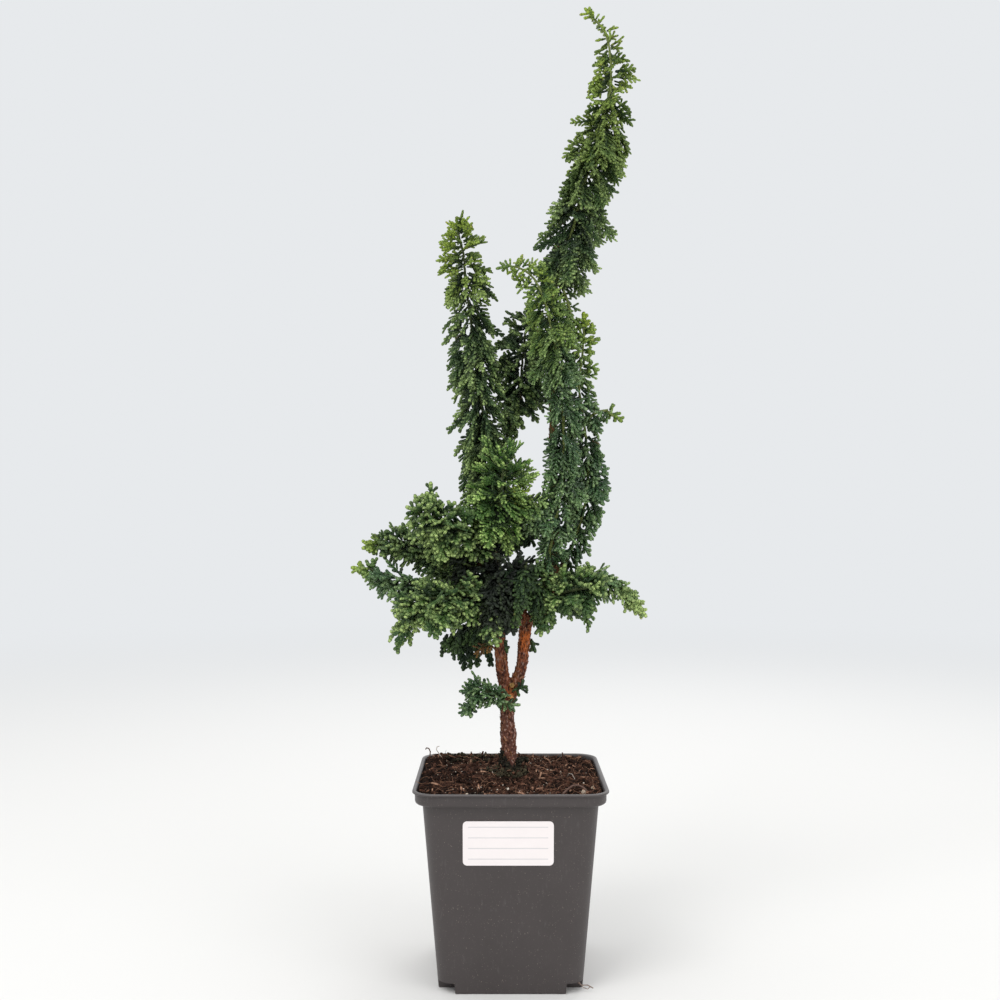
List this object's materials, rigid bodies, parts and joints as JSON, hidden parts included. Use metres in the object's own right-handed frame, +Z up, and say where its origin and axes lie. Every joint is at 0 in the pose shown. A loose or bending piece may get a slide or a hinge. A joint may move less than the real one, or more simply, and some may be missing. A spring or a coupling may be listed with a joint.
{
  "type": "hinoki cypress bonsai in a nursery pot",
  "caption": "Young upright hinoki cypress with twin limbs, tall leafy shoots and spreading lower sprays, standing in a square tapered nursery pot with a blank label.",
  "frame": {"origin": "middle of the pot's foot, on the surface that it stands on", "axes": "+Z up along the tree, -Y towards the label on the pot's front wall, +X to the right seen from the front"},
  "size_m": [0.1823, 0.1104, 0.5754],
  "materials": {
    "pot_plastic": "dark grey moulded polypropylene with a soft sheen, a little paler on the lip's edge",
    "label_paper": "white coated sticker, blank but for faint grey ruled lines",
    "soil_peat": "damp dark brown peat with bark chips, grit and a little moss",
    "bark": "matt reddish brown bark that peels in strips and scales",
    "deep_green": "shaded dark green scale leaves, slightly waxy",
    "mid_green": "mid green scale leaves with lighter tips, slightly waxy",
    "bright_green": "bright yellow-green scale leaves of the young tips, slightly waxy",
    "blue_green": "blue-green scale leaves with whitish wax marks",
    "dry_orange": "dry orange-brown scale leaves, matt"
  },
  "bodies": {
    "root": {"pot": "pot_plastic", "label": "label_paper", "soil": "soil_peat", "tree": "bark", "crown_front": "bright_green", "pad_upper_left": "bright_green", "branch_left_upper": "mid_green", "branch_left_lower": "blue_green", "pad_lower_left": "bright_green", "branch_right": "bright_green", "column_left": "mid_green", "column_tall": "mid_green", "column_middle": "blue_green", "column_right": "mid_green", "shoot_inner": "deep_green", "hanging_left": "deep_green", "recess_front": "deep_green", "sprig_centre": "blue_green", "pad_lower_right": "mid_green", "pad_back_left": "mid_green", "pad_back_centre": "deep_green", "pad_back_right": "mid_green", "sprig_trunk": "mid_green", "sprig_fork": "deep_green", "sprig_limb": "deep_green", "dry_sprig": "dry_orange"}
  },
  "joints": []
}
